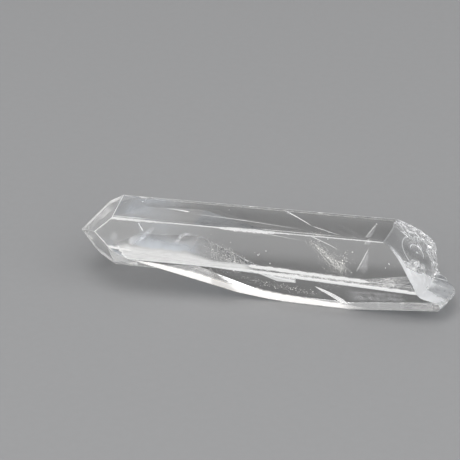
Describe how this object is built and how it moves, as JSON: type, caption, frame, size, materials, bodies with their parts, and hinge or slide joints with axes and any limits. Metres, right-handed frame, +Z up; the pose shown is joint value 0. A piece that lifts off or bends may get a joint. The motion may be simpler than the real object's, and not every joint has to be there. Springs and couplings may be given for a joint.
{
  "type": "natural quartz crystal point",
  "caption": "Clear six-sided quartz crystal point with a faceted tip and a broken shell-shaped base, lying on one long side.",
  "frame": {"origin": "centre of the bounding box in X and Y, at the height of the flat it rests on", "axes": "+X along the crystal from the tip to the broken base, +Z up"},
  "size_m": [0.0516, 0.0126, 0.0102],
  "materials": {
    "quartz": "clear natural quartz with flat bright faces, worn pale edges and a frosted broken base"
  },
  "bodies": {
    "root": {"quartz_point": "quartz"}
  },
  "joints": []
}
